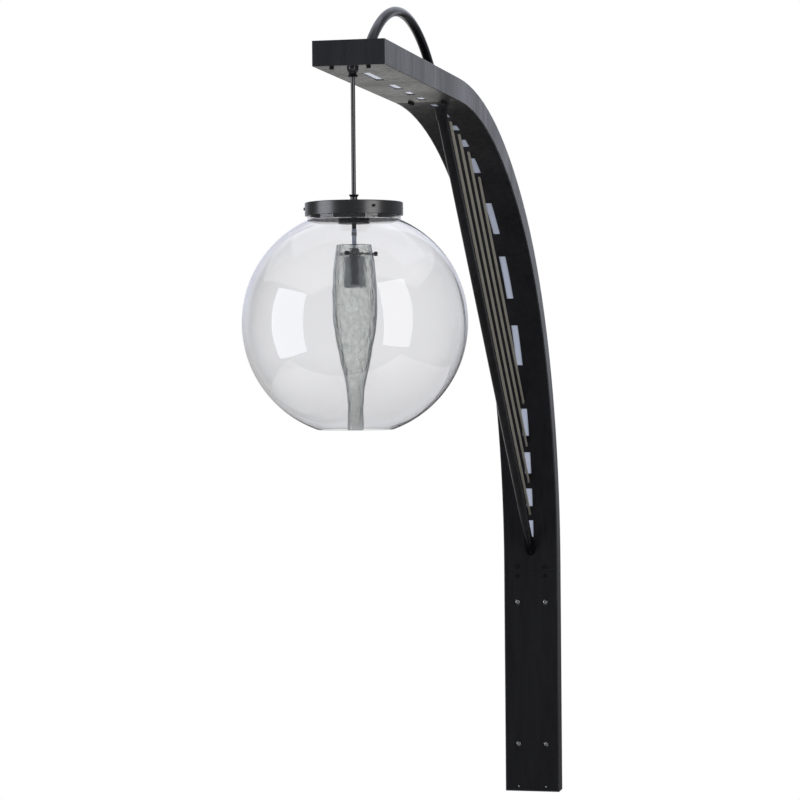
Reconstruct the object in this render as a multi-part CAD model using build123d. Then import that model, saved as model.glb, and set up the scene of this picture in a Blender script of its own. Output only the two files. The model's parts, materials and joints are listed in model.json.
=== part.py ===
"""Wall lamp: a tall box-section arm that bends over and hangs a clear globe from its level head.

Millimetres and degrees. The wall is the plane Y = 0 and the lamp stands out of it towards -Y, with +Z up.
The origin is the middle of the four wall holes, on the wall.
"""
from build123d import *
import math
import os

# Arm: front face upright, two tangent bends, then a level head
arm_width = 134.0
arm_depth = 46.0
head_length = 665.0
upper_radius = 1312.0
lower_radius = 970.0
lower_turn = 55.4
base_height = 556.0
side_wall = 3.0
side_edge_round = 0.8
spine_wall = 4.0
end_wall = 3.0

# Covers of the front face
cover_wall = 3.0
cover_gap = 0.3
seam_gap = 0.8
lower_seam_drop = 12.0
strap_wall = 5.0
strap_half = 18.0
foot_strap_length = 26.0

# Light slots
slot_width = 16.0
slot_gap = 0.3
head_slot_shares = [(0.283, 0.190), (0.562, 0.123), (0.744, 0.084), (0.907, 0.070)]
upper_slot_shares = [(0.50, 0.30), (0.50, 0.35), (0.50, 0.43), (0.50, 0.44), (0.518, 0.593)]
middle_slot_shares = [(0.228, 0.168), (0.513, 0.189), (0.793, 0.156)]
lower_slot_shares = [(0.504, 0.629), (0.519, 0.588), (0.516, 0.548), (0.431, 0.463)]
lens_wall = 3.0
lens_width = 30.0
lens_inset = 2.0
lens_lap = 6.0
tray_wall = 1.5
tray_height = 16.0
tray_flange = 8.0
tray_gap = 0.5
board_wall = 1.6
board_width = 20.0

# Strut and strings, all parallel in the middle plane
strut_radius = 10.0
strut_wall = 2.0
strut_foot_rise = 43.0
strut_head_drop = 129.6
strut_collar_wall = 1.8
strut_collar_length = 7.0
string_count = 4
string_radius = 3.2
string_first = 59.0
string_pitch = 48.5
rod_clearance = 0.6
strut_seat_depth = 30.0
string_seat_depth = 38.0
socket_front = 22.0
strut_socket_wall = 4.0
string_socket_wall = 4.5

# Loop of tube over the head
loop_radius = 9.5
loop_span = 578.0
loop_rise = 104.0
loop_middle = 441.0

# Cap screws of the covers
screw_across = 34.0
seam_screw_offset = 11.0
hanger_screw_inset = 12.0
foot_screw_inset = 12.0
screw_head_radius = 4.25
screw_head_height = 5.0
screw_edge_round = 1.0
screw_shank_radius = 2.5
screw_length = 9.0
screw_key_share = 0.5
screw_seat_gap = 0.05
screw_clearance = 0.2
foot_screw_head_radius = 2.4
foot_screw_head_height = 1.4
foot_screw_shank_radius = 1.3

# Wall fixing
bracket_top_room = 29.0
bracket_foot_room = 57.0
bracket_side_gap = 1.0
bracket_top_gap = 1.0
back_wall = 6.0
back_lap = 24.0
wall_hole_across = 90.0
wall_hole_inset = 115.0
wall_hole_radius = 4.5
wall_head_room = 9.0
cable_entry_radius = 11.0
cable_entry_height = 110.0
mount_bolt_across = 69.0
mount_bolt_inset = 59.5
mount_bolt_radius = 4.0
mount_bolt_clearance = 0.3
mount_head_radius = 6.5
mount_head_height = 8.0
mount_head_round = 2.8
mount_head_room = 1.0
mount_key_share = 0.45
mount_key_depth = 4.0
sleeve_wall = 2.5

# Wiring inside the arm
driver_width = 58.0
driver_height = 150.0
driver_depth = 26.0
driver_edge_round = 2.0
block_width = 30.0
block_height = 30.0
block_depth = 20.0
block_drop = 25.0
head_block_inset = 60.0
cable_radius = 3.5
cable_across = 45.0
cable_depth = 30.0
clip_wall = 2.0
clip_length = 10.0
clip_count = 7

# Swivel under the head
pendant_inset = 32.0
hanger_length = 70.0
hanger_wall = 8.0
swivel_shaft_radius = 6.0
swivel_fit = 0.05
swivel_hole_room = 0.6
swivel_end_gap = 0.3
collar_radius = 10.5
collar_height = 4.1
fork_foot_radius = 6.8
fork_foot_drop = 10.7
pivot_drop = 8.0
pin_radius = 1.5
pin_half = 7.2
pin_fit = 0.05
eye_width = 8.0
eye_radius = 3.0
cheek_gap = 0.3
cheek_radius = 3.2
nut_radius = 10.0
nut_height = 6.0

# Stem
bell_drop = 11.6
bell_top_radius = 6.8
bell_radius = 9.6
bell_height = 5.5
bell_wall = 0.8
bell_roof = 1.6
bell_hub_radius = 5.2
bell_hub_height = 4.5
stem_radius = 4.0
stem_wall = 1.0
stem_seat = 3.0
coupling_radius = 9.0
coupling_foot_radius = 6.4
coupling_height = 14.2
coupling_brim = 4.5
coupling_lip = 0.8

# Globe and its fitter
fitter_top_drop = 242.5
fitter_radius = 88.3
fitter_height = 23.5
fitter_wall = 1.5
fitter_lip = 1.8
fitter_edge_round = 2.0
globe_centre_drop = 458.8
globe_radius = 203.2
globe_wall = 3.0
globe_mouth_radius = 68.0
neck_radius = 84.0
neck_top_gap = 3.0
neck_plate_radius = 79.5
neck_plate_drop = 31.0
neck_plate_wall = 1.5
neck_hub_radius = 9.0
neck_boss_radius = 28.0
neck_boss_height = 6.9
neck_plate_fit = 0.05
fitter_screw_angle = 187.0
fitter_screw_drop = 10.5
fitter_screw_radius = 2.0
fitter_screw_head_radius = 2.6
fitter_screw_head_length = 2.4
fitter_screw_stand = 0.4
fitter_screw_fit = 0.05
fitter_screw_tip_gap = 0.3
screw_step_angle = 120.0

# Inner stem, lamp and shade
inner_stem_length = 47.1
inner_ring_radius = 4.4
inner_ring_height = 6.2
inner_coupling_radius = 4.8
inner_coupling_height = 6.2
lower_tube_length = 22.5
lamp_core_radius = 7.2
lamp_core_length = 65.0
lamp_pin_spacing = 4.0
lamp_pin_radius = 0.5
lamp_pin_depth = 8.0
lamp_cup_radius = 19.3
lamp_cup_wall = 2.0
lamp_cup_length = 56.0
spider_hub_radius = 9.0
spider_hub_height = 10.0
spider_arm_radius = 2.6
spider_arm_gap = 0.6
shade_top_drop = 318.5
shade_length = 333.0
shade_radius = 40.7
shade_wall = 4.0
shade_rim_shares = (0.78, 0.91, 0.082)
shade_side_shares = [
    (0.30, 1.0),
    (0.442, 0.94),
    (0.582, 0.745),
    (0.69, 0.535),
    (0.773, 0.405),
    (0.867, 0.36),
]
shade_foot_share = 0.365
shade_screw_angle = 24.0
shade_screw_drop = 334.5
shade_screw_radius = 1.5
shade_screw_fit = 0.05
shade_screw_hole_room = 0.5
shade_screw_depth = 9.0
shade_screw_stand = 1.2
knob_radius = 4.0
knob_length = 6.0
knob_edge_round = 0.6

cut_overrun = 20.0

# Places that follow from the arm's sizes. "Along" is measured down the front face from the head's end
turn = math.radians(lower_turn)
bracket_height = base_height - bracket_top_room - bracket_foot_room
mount_height = bracket_foot_room + bracket_height / 2
mount_bolt_rise = bracket_height - 2 * mount_bolt_inset
wall_hole_rise = bracket_height - 2 * wall_hole_inset
block_rise = bracket_height / 2 - block_drop
bend_z = base_height - mount_height
lower_centre = Vector(0, -arm_depth - lower_radius, bend_z)
bend_shift = Vector(0, math.cos(turn), math.sin(turn)) * (lower_radius - upper_radius)
upper_centre = lower_centre + bend_shift
under_z = upper_centre.Z + upper_radius
end_y = upper_centre.Y - head_length
head_end = head_length
bend_change = head_end + upper_radius * (math.pi / 2 - turn)
curve_end = bend_change + lower_radius * turn
face_end = curve_end + base_height
lower_seam = curve_end + lower_seam_drop
inner_width = arm_width - 2 * side_wall
cover_width = inner_width - 2 * cover_gap
inner_back = arm_depth - spine_wall
pendant_y = end_y + pendant_inset


def inward(along):
    """Direction square to the front face, into the arm."""
    if along <= head_end:
        angle = math.pi / 2
    elif along <= bend_change:
        angle = math.pi / 2 - (along - head_end) / upper_radius
    elif along <= curve_end:
        angle = (curve_end - along) / lower_radius
    else:
        angle = 0
    return Vector(0, math.cos(angle), math.sin(angle))


def spot(along, depth=0, across=0):
    """Point a given depth behind the front face."""
    if along <= head_end:
        face = Vector(0, end_y + along, under_z)
    elif along <= bend_change:
        face = upper_centre + inward(along) * upper_radius
    elif along <= curve_end:
        face = lower_centre + inward(along) * lower_radius
    else:
        face = Vector(0, -arm_depth, bend_z - (along - curve_end))
    return face + inward(along) * depth + Vector(across, 0, 0)


def station(along, depth=0, across=0):
    """Plane on the face: its Z goes into the arm and its Y down the face."""
    return Plane(origin=spot(along, depth, across), x_dir=(1, 0, 0), z_dir=inward(along))


def runs(start, stop, depth, across=0):
    """Lines and arcs that follow the front face at one depth."""
    breaks = [place for place in (head_end, bend_change, curve_end) if start < place < stop]
    ends = [start] + breaks + [stop]
    edges = []
    for here, there in zip(ends, ends[1:]):
        middle = (here + there) / 2
        first = spot(here, depth, across)
        last = spot(there, depth, across)
        if head_end < middle < curve_end:
            edges.append(ThreePointArc(first, spot(middle, depth, across), last))
        else:
            edges.append(Line(first, last))
    return edges


def strip(start, stop, near, far, width, across=0):
    """Bar that follows the front face between two depths."""
    side = across - width / 2
    outline = runs(start, stop, near, side)
    outline.append(Line(spot(stop, near, side), spot(stop, far, side)))
    outline += runs(start, stop, far, side)
    outline.append(Line(spot(start, far, side), spot(start, near, side)))
    return extrude(make_face(outline), amount=width, dir=(1, 0, 0))


def turned(points, place=(0, 0, 0)):
    """Solid turned about an upright axis from (radius, height) points."""
    outline = Polyline(*[(radius, 0, height) for radius, height in points], close=True)
    return Pos(*place) * revolve(make_face(outline), Axis.Z)


def post(start, stop, radius):
    """Round bar between two points."""
    return Plane(origin=start, z_dir=stop - start) * Cylinder(
        radius, (stop - start).length, align=(Align.CENTER, Align.CENTER, Align.MIN)
    )


def face_hole(along, across, radius, depth):
    """Round cutter square to the front face, from outside it down to a depth."""
    return station(along, -cut_overrun, across) * Cylinder(
        radius, depth + cut_overrun, align=(Align.CENTER, Align.CENTER, Align.MIN)
    )


def wall_hole(across, height, radius, depth):
    """Round cutter square to the wall, from behind it out to a depth."""
    return post(Vector(across, cut_overrun, height), Vector(across, -depth, height), radius)


def corners(across, rise):
    """Four places on the wall, half of each spacing from the middle."""
    return [(x * across / 2, z * rise / 2) for z in (1, -1) for x in (-1, 1)]


# Strut and strings
strut_foot = spot(curve_end - strut_foot_rise)
rod_way = (spot(head_end + strut_head_drop) - strut_foot).normalized()
rod_side = Vector(0, rod_way.Z, -rod_way.Y)
string_offsets = [string_first + number * string_pitch for number in range(string_count)]


def rod_point(offset, depth, upper):
    """Point where a rod's axis reaches a depth behind the upper or the lower bend's face."""
    centre = upper_centre if upper else lower_centre
    radius = upper_radius if upper else lower_radius
    start = strut_foot + rod_side * offset
    half = (start - centre).dot(rod_way)
    root = math.sqrt(half**2 - (start - centre).dot(start - centre) + (radius + depth) ** 2)
    return start + rod_way * ((root if upper else -root) - half)


def rod(offset, radius, depth):
    """Rod from its lower seat in the arm to its upper one."""
    return post(rod_point(offset, depth, False), rod_point(offset, depth, True), radius)


def rod_along(offset, upper):
    """Where a rod's axis goes through the front face, measured along the face."""
    place = rod_point(offset, 0, upper)
    centre = upper_centre if upper else lower_centre
    angle = math.atan2(place.Z - centre.Z, place.Y - centre.Y)
    if upper:
        return head_end + (math.pi / 2 - angle) * upper_radius
    return curve_end - angle * lower_radius


def rod_holes(shape):
    """The same shape with room for the strut and the strings."""
    shape -= rod(0, strut_radius + rod_clearance, arm_depth)
    for offset in string_offsets:
        shape -= rod(offset, string_radius + rod_clearance, arm_depth)
    return shape


# Slots as (middle, length) along the face: on the head, between the rods, and below the last string's top
def slots_between(marks, shares):
    """One slot in each gap between two rods, placed and sized as shares of the gap."""
    return [
        (above + (below - above) * middle, (below - above) * length)
        for above, below, (middle, length) in zip(marks, marks[1:], shares)
    ]


upper_marks = [head_end] + [rod_along(offset, True) for offset in [0] + string_offsets]
lower_marks = [rod_along(offset, False) for offset in string_offsets[::-1] + [0]]
middle_span = lower_marks[0] - upper_marks[-1]
head_slots = [(middle * head_length, length * head_length) for middle, length in head_slot_shares]
upper_slots = slots_between(upper_marks, upper_slot_shares)
middle_slots = [
    (upper_marks[-1] + middle * middle_span, length * middle_span) for middle, length in middle_slot_shares
]
lower_slots = slots_between(lower_marks, lower_slot_shares)
elbow_slots = upper_slots[:1]
curve_slots = upper_slots[1:] + middle_slots + lower_slots


def slot_cut(middle, length):
    """Cutter for one slot through a cover."""
    start, stop = middle - length / 2, middle + length / 2
    return strip(start, stop, -cover_wall, 2 * cover_wall, slot_width)


def slot_ends(slots, lap):
    """Start and stop of the light strip behind a row of slots."""
    first, last = slots[0], slots[-1]
    return first[0] - first[1] / 2 - lap, last[0] + last[1] / 2 + lap


def lens(slots):
    """Opal strip behind a cover, with a raised bar that fills each slot."""
    start, stop = slot_ends(slots, lens_lap)
    body = strip(start, stop, cover_wall, cover_wall + lens_wall, lens_width)
    for middle, length in slots:
        half = length / 2 - slot_gap
        body += strip(middle - half, middle + half, lens_inset, cover_wall, slot_width - 2 * slot_gap)
    return rod_holes(body)


def tray(slots):
    """Channel over the lens that carries the light board."""
    start, stop = slot_ends(slots, lens_lap)
    inside = lens_width + 2 * tray_gap
    outside = inside + 2 * tray_wall
    top = cover_wall + tray_height
    flange = strip(start, stop, cover_wall, cover_wall + tray_wall, outside + 2 * tray_flange)
    body = flange + strip(start, stop, cover_wall, top, outside)
    body -= strip(start, stop, cover_wall, top - tray_wall, inside)
    return rod_holes(body)


def board(slots):
    """Light board under the top of its channel."""
    start, stop = slot_ends(slots, lens_lap)
    back = cover_wall + tray_height - tray_wall
    return rod_holes(strip(start, stop, back - board_wall, back, board_width))


def rod_sockets(offset, radius, wall, depth):
    """Bosses on the spine that hold both ends of a rod."""
    boss = rod(offset, radius + wall, 2 * arm_depth)
    boss &= strip(head_end, curve_end, socket_front, inner_back, inner_width)
    return (boss - rod(offset, radius, depth)).solids()


# Screws
seam_places = [
    (seam + side * seam_screw_offset, x * screw_across)
    for seam in (head_end, lower_seam)
    for side in (-1, 1)
    for x in (-1, 1)
]
hanger_places = [(hanger_screw_inset, x * screw_across) for x in (-1, 1)]
foot_places = [(face_end - foot_screw_inset, x * screw_across) for x in (-1, 1)]


def cap_screw(along, across, head_radius, head_height, shank_radius):
    """Cap screw through a cover, with an eased edge and a hexagon key recess."""
    cap = Cylinder(head_radius, head_height, align=(Align.CENTER, Align.CENTER, Align.MAX))
    cap = fillet(cap.edges().sort_by(Axis.Z)[0], min(head_height / 2, screw_edge_round))
    key = extrude(RegularPolygon(head_radius * screw_key_share, 6), amount=head_height / 2)
    shank = Cylinder(shank_radius, screw_length, align=(Align.CENTER, Align.CENTER, Align.MIN))
    return station(along, -screw_seat_gap, across) * (cap + shank - Pos(0, 0, -head_height) * key)


def screw_holes(shape, places, radius):
    """The same shape drilled for screws."""
    for along, across in places:
        shape -= face_hole(along, across, radius, arm_depth)
    return shape


# Arm
def arm_side(hand):
    """Flat side plate, its outer edges eased."""
    plate = strip(0, face_end, 0, arm_depth, side_wall, hand * (arm_width - side_wall) / 2)
    outer = plate.faces().sort_by(Axis.X)[-1 if hand > 0 else 0]
    return fillet(outer.edges(), side_edge_round)


def arm_spine():
    """Rolled back plate, from the head's end down to the wall bracket."""
    stop = curve_end + bend_z - bracket_height / 2 - bracket_top_gap
    return strip(end_wall, stop, inner_back, arm_depth, inner_width)


def head_cover():
    """Flat cover under the head, with four slots and the swivel's hole."""
    plate = strip(end_wall + cover_gap, head_end - seam_gap / 2, 0, cover_wall, cover_width)
    for middle, length in head_slots:
        plate -= slot_cut(middle, length)
    plate -= face_hole(pendant_inset, 0, swivel_shaft_radius + swivel_hole_room, arm_depth)
    return screw_holes(plate, seam_places[:2] + hanger_places, screw_shank_radius + screw_clearance)


def curve_cover():
    """Rolled cover of the two bends, with twelve slots and the rods' holes."""
    plate = strip(head_end + seam_gap / 2, lower_seam - seam_gap / 2, 0, cover_wall, cover_width)
    for middle, length in elbow_slots + curve_slots:
        plate -= slot_cut(middle, length)
    return screw_holes(rod_holes(plate), seam_places[2:6], screw_shank_radius + screw_clearance)


def base_cover():
    """Flat cover of the foot, with four round openings over the bracket bolts."""
    plate = strip(lower_seam + seam_gap / 2, face_end - end_wall - cover_gap, 0, cover_wall, cover_width)
    for across, height in corners(mount_bolt_across, mount_bolt_rise):
        plate -= wall_hole(across, height, mount_head_radius + mount_head_room, arm_depth + cut_overrun)
    plate = screw_holes(plate, seam_places[6:], screw_shank_radius + screw_clearance)
    return screw_holes(plate, foot_places, foot_screw_shank_radius + screw_clearance)


def hanger_plate():
    """Thick plate across the head's end that carries the swivel."""
    plate = strip(end_wall, end_wall + hanger_length, cover_wall, cover_wall + hanger_wall, inner_width)
    plate -= face_hole(pendant_inset, 0, swivel_shaft_radius + swivel_fit, arm_depth)
    return screw_holes(plate, hanger_places, screw_shank_radius)


def seam_strap(seam, places):
    """Strap across the arm behind a seam, which takes the screws of both covers."""
    plate = strip(seam - strap_half, seam + strap_half, cover_wall, cover_wall + strap_wall, inner_width)
    return screw_holes(plate, places, screw_shank_radius)


def foot_strap():
    """Strap above the bottom plate, which takes the foot screws."""
    stop = face_end - end_wall
    plate = strip(stop - foot_strap_length, stop, cover_wall, cover_wall + strap_wall, inner_width)
    return screw_holes(plate, foot_places, foot_screw_shank_radius)


# Wall fixing
back_front = arm_depth - spine_wall - back_wall
back_top = bracket_height / 2 + back_lap


def wall_bracket():
    """Flat bracket on the wall, with four wall holes and four threaded ones for the arm's bolts."""
    width = inner_width - 2 * bracket_side_gap
    plate = Pos(0, -spine_wall / 2, 0) * Box(width, spine_wall, bracket_height)
    for across, height in corners(wall_hole_across, wall_hole_rise):
        plate -= wall_hole(across, height, wall_hole_radius, arm_depth)
    for across, height in corners(mount_bolt_across, mount_bolt_rise):
        plate -= wall_hole(across, height, mount_bolt_radius, arm_depth)
    return plate - wall_hole(0, cable_entry_height, cable_entry_radius, arm_depth)


def base_back_plate():
    """Strong plate inside the foot: it laps the spine and sits on the wall bracket."""
    bottom = end_wall - mount_height
    middle = (back_top + bottom) / 2
    plate = Pos(0, -spine_wall - back_wall / 2, middle) * Box(inner_width, back_wall, back_top - bottom)
    for across, height in corners(wall_hole_across, wall_hole_rise):
        plate -= wall_hole(across, height, wall_head_room, arm_depth)
    for across, height in corners(mount_bolt_across, mount_bolt_rise):
        plate -= wall_hole(across, height, mount_bolt_radius + mount_bolt_clearance, arm_depth)
    return plate - wall_hole(0, cable_entry_height, cable_entry_radius, arm_depth)


def mount_sleeves():
    """Spacers between the back plate and the cover, each with a seat for a bolt's head."""
    seat_radius = mount_head_radius + mount_head_room
    front, back = cover_wall - arm_depth, -spine_wall - back_wall
    sleeves = []
    for across, height in corners(mount_bolt_across, mount_bolt_rise):
        start, stop = Vector(across, front, height), Vector(across, back, height)
        seat = Vector(across, front + mount_head_height, height)
        sleeve = post(start, stop, seat_radius + sleeve_wall)
        sleeve -= post(start, seat, seat_radius)
        sleeves.append(sleeve - post(start, stop, mount_bolt_radius + mount_bolt_clearance))
    return sleeves


def mount_bolts():
    """Round-headed socket bolts that clamp the arm to the wall bracket."""
    front = cover_wall - arm_depth
    bolts = []
    for across, height in corners(mount_bolt_across, mount_bolt_rise):
        top = Vector(across, front, height)
        seat = Vector(across, front + mount_head_height, height)
        head = post(top, seat, mount_head_radius)
        head = fillet(head.edges().filter_by(GeomType.CIRCLE).sort_by(Axis.Y)[0], mount_head_round)
        bolt = head + post(seat, Vector(across, 0, height), mount_bolt_radius)
        key = extrude(RegularPolygon(mount_head_radius * mount_key_share, 6), amount=mount_key_depth)
        bolts.append(bolt - Plane(origin=top, x_dir=(1, 0, 0), z_dir=(0, 1, 0)) * key)
    return bolts


# Wiring
def led_driver():
    """Driver case on the back plate."""
    case = Box(driver_width, driver_depth, driver_height)
    case = fillet(case.edges(), driver_edge_round)
    return Pos(0, back_front - arm_depth - driver_depth / 2, 0) * case


def base_block():
    """Terminal block on the back plate, where the cable starts."""
    return Pos(cable_across, back_front - arm_depth - block_depth / 2, block_rise) * Box(
        block_width, block_depth, block_height
    )


def head_block():
    """Terminal block on the spine at the other end of the cable."""
    stop = head_block_inset + block_height
    return strip(head_block_inset, stop, inner_back - block_depth, inner_back, block_width, cable_across)


cable_start = head_block_inset + block_height
cable_stop = curve_end + bend_z - block_rise - block_height / 2


def lamp_cable():
    """Supply cable along the arm."""
    path = Wire(runs(cable_start, cable_stop, cable_depth, cable_across))
    start = Plane(origin=path @ 0, z_dir=path % 0)
    return sweep(start * Circle(cable_radius), path=path)


def cable_clips(cable):
    """Saddles that hold the cable off the spine."""
    top = back_top + block_height
    step = (curve_end + bend_z - top - cable_start) / clip_count
    near = cable_depth - cable_radius - clip_wall
    width = 2 * (cable_radius + clip_wall)
    clips = []
    for number in range(clip_count):
        start = cable_start + (number + 1 / 2) * step - clip_length / 2
        clip = strip(start, start + clip_length, near, inner_back, width, cable_across)
        clips.append(clip - cable)
    return clips


# Strut, strings and loop
def strut():
    """Tube from the lower bend to the upper one."""
    return rod(0, strut_radius, strut_seat_depth) - rod(0, strut_radius - strut_wall, arm_depth)


def strut_collars():
    """Ring where the strut leaves each bend, cut to the face."""
    rings = []
    for upper in (False, True):
        inside = rod_point(0, arm_depth, upper)
        away = -rod_way if upper else rod_way
        outside = rod_point(0, 0, upper) + away * (strut_collar_length + strut_radius)
        ring = post(inside, outside, strut_radius + strut_collar_wall)
        ring -= strip(0, face_end, 0, 2 * arm_depth, arm_width)
        rings.append(ring - rod(0, strut_radius, arm_depth))
    return rings


def loop_tube():
    """Bent tube that stands on the head's top like a handle."""
    bend = (loop_span**2 / 4 + loop_rise**2) / (2 * loop_rise)
    centre = Vector(0, end_y + loop_middle, under_z + arm_depth + loop_rise - bend)
    half = math.asin(loop_span / 2 / bend) + math.atan(arm_depth / 2 / bend)
    start = centre + Vector(0, -math.sin(half), math.cos(half)) * bend
    section = Plane(origin=start, z_dir=(0, math.cos(half), math.sin(half))) * Circle(loop_radius)
    tube = revolve(section, Axis(centre, (-1, 0, 0)), 2 * math.degrees(half))
    return tube - strip(-arm_depth, curve_end, 0, arm_depth, arm_width)


# Swivel and stem
collar_top = under_z - swivel_end_gap
collar_bottom = collar_top - collar_height
pivot_z = under_z - pivot_drop
bell_top = under_z - bell_drop
fitter_top = under_z - fitter_top_drop


def swivel_body():
    """Collar that turns under the head, with its shaft above and a tapered fork below."""
    bottom = pivot_z - cheek_radius
    slope = (collar_radius - fork_foot_radius) / (collar_bottom - under_z + fork_foot_drop)
    foot_radius = collar_radius - slope * (collar_bottom - bottom)
    collar_points = [
        (0, collar_top),
        (collar_radius, collar_top),
        (collar_radius, collar_bottom),
        (0, collar_bottom),
    ]
    cone_points = [
        (0, collar_bottom),
        (collar_radius, collar_bottom),
        (foot_radius, bottom),
        (0, bottom),
    ]
    middle = Vector(0, pendant_y, pivot_z)
    reach = Vector(collar_radius, 0, 0)
    rise = collar_bottom - pivot_z
    fork_shape = post(middle - reach, middle + reach, cheek_radius)
    fork_shape += Pos(*middle) * Box(
        2 * collar_radius, 2 * cheek_radius, rise, align=(Align.CENTER, Align.CENTER, Align.MIN)
    )
    fork = turned(cone_points, (0, pendant_y, 0)) & fork_shape
    slot_top = pivot_z + eye_radius + cheek_gap
    slot_height = slot_top - bottom + cut_overrun
    fork -= Pos(0, pendant_y, slot_top) * Box(
        eye_width + 2 * cheek_gap, cut_overrun, slot_height, align=(Align.CENTER, Align.CENTER, Align.MAX)
    )
    shaft_length = swivel_end_gap + cover_wall + hanger_wall + swivel_end_gap + nut_height
    shaft = Cylinder(swivel_shaft_radius, shaft_length, align=(Align.CENTER, Align.CENTER, Align.MIN))
    body = turned(collar_points, (0, pendant_y, 0)) + fork + Pos(0, pendant_y, collar_top) * shaft
    return body - post(middle - reach, middle + reach, pin_radius)


def pivot_pin():
    """Cross pin pressed into the fork."""
    half = Vector(pin_half, 0, 0)
    middle = Vector(0, pendant_y, pivot_z)
    return post(middle - half, middle + half, pin_radius)


def swivel_nut():
    """Hexagon nut that keeps the shaft in the hanger plate."""
    nut = extrude(RegularPolygon(nut_radius, 6), amount=nut_height)
    nut -= Cylinder(swivel_shaft_radius, 2 * nut_height)
    return Pos(0, pendant_y, under_z + cover_wall + hanger_wall + swivel_end_gap) * nut


def stem_eye():
    """Eye on the pin, with a bell below that opens downward round the stem's seat."""
    middle = Vector(0, pendant_y, pivot_z)
    half = Vector(eye_width / 2, 0, 0)
    eye = post(middle - half, middle + half, eye_radius)
    neck = Box(eye_width, 2 * eye_radius, pivot_z - bell_top, align=(Align.CENTER, Align.CENTER, Align.MAX))
    bell_points = [
        (0, 0),
        (bell_top_radius, 0),
        (bell_radius, -bell_height),
        (bell_radius - bell_wall, -bell_height),
        (bell_top_radius - bell_wall / 2, -bell_roof),
        (bell_hub_radius, -bell_roof),
        (bell_hub_radius, -bell_hub_height),
        (0, -bell_hub_height),
    ]
    bell = turned(bell_points, (0, pendant_y, bell_top))
    body = eye + Pos(0, pendant_y, pivot_z) * neck + bell
    body -= post(middle - half, middle + half, pin_radius + pin_fit)
    seat = Vector(0, pendant_y, bell_top - bell_hub_height)
    return body - post(seat, seat + Vector(0, 0, stem_seat), stem_radius)


def tube(top, bottom, radius, wall):
    """Upright tube on the pendant's axis."""
    points = [(radius - wall, bottom), (radius, bottom), (radius, top), (radius - wall, top)]
    return turned(points, (0, pendant_y, 0))


stem_top = bell_top - bell_hub_height + stem_seat
coupling_top = fitter_top + coupling_height


def stem_tube():
    """Long stem from the swivel to the coupling."""
    return tube(stem_top, coupling_top - coupling_brim, stem_radius, stem_wall)


def stem_coupling():
    """Coupling that stands on the fitter, with a thin flared lip."""
    points = [
        (0, fitter_top),
        (coupling_foot_radius, fitter_top),
        (coupling_foot_radius, coupling_top - coupling_brim),
        (coupling_radius, coupling_top - coupling_lip),
        (coupling_radius, coupling_top),
        (stem_radius, coupling_top),
        (stem_radius, coupling_top - coupling_brim),
        (0, coupling_top - coupling_brim),
    ]
    return turned(points, (0, pendant_y, 0))


# Globe and fitter
def round_places(first):
    """Three angles round the pendant."""
    return [math.radians(first + number * screw_step_angle) for number in range(3)]


def outward(angle):
    """Level direction away from the pendant's axis."""
    return Vector(math.cos(angle), math.sin(angle), 0)


def pendant_point(radius, angle, height):
    """Point round the pendant's axis."""
    return Vector(0, pendant_y, height) + outward(angle) * radius


def fitter():
    """Spun cap that holds the globe's neck, with a rolled lip."""
    bottom = fitter_top - fitter_height
    inside = fitter_radius - fitter_wall
    points = [
        (stem_radius, fitter_top),
        (fitter_radius, fitter_top),
        (fitter_radius, bottom),
        (inside - fitter_lip, bottom),
        (inside - fitter_lip, bottom + fitter_wall),
        (inside, bottom + fitter_wall),
        (inside, fitter_top - fitter_wall),
        (stem_radius, fitter_top - fitter_wall),
    ]
    cap = turned(points, (0, pendant_y, 0))
    rim = cap.edges().filter_by(GeomType.CIRCLE).group_by(Axis.Z)[-1].sort_by(SortBy.RADIUS)[-1]
    cap = fillet(rim, fitter_edge_round)
    for angle in round_places(fitter_screw_angle):
        start = pendant_point(neck_radius, angle, fitter_top - fitter_screw_drop)
        cap -= post(start, start + outward(angle) * cut_overrun, fitter_screw_radius + fitter_screw_fit)
    return cap


def neck_plate():
    """Plate up the globe's neck that closes it, on a hub under the fitter's roof and with a boss below."""
    hub_top = fitter_top - fitter_wall
    plate_bottom = fitter_top - neck_plate_drop
    boss_bottom = plate_bottom - neck_boss_height
    bore = stem_radius + neck_plate_fit
    points = [
        (bore, hub_top),
        (neck_hub_radius, hub_top),
        (neck_hub_radius, plate_bottom + neck_plate_wall),
        (neck_plate_radius, plate_bottom + neck_plate_wall),
        (neck_plate_radius, plate_bottom),
        (neck_boss_radius, plate_bottom),
        (neck_boss_radius, boss_bottom),
        (bore, boss_bottom),
    ]
    return turned(points, (0, pendant_y, 0))


def fitter_screw(angle):
    """Set screw through the fitter's band, up against the globe's neck."""
    height = fitter_top - fitter_screw_drop
    tip = pendant_point(neck_radius + fitter_screw_tip_gap, angle, height)
    seat = pendant_point(fitter_radius + fitter_screw_stand, angle, height)
    head = post(seat, seat + outward(angle) * fitter_screw_head_length, fitter_screw_head_radius)
    return post(tip, seat, fitter_screw_radius) + head


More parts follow.
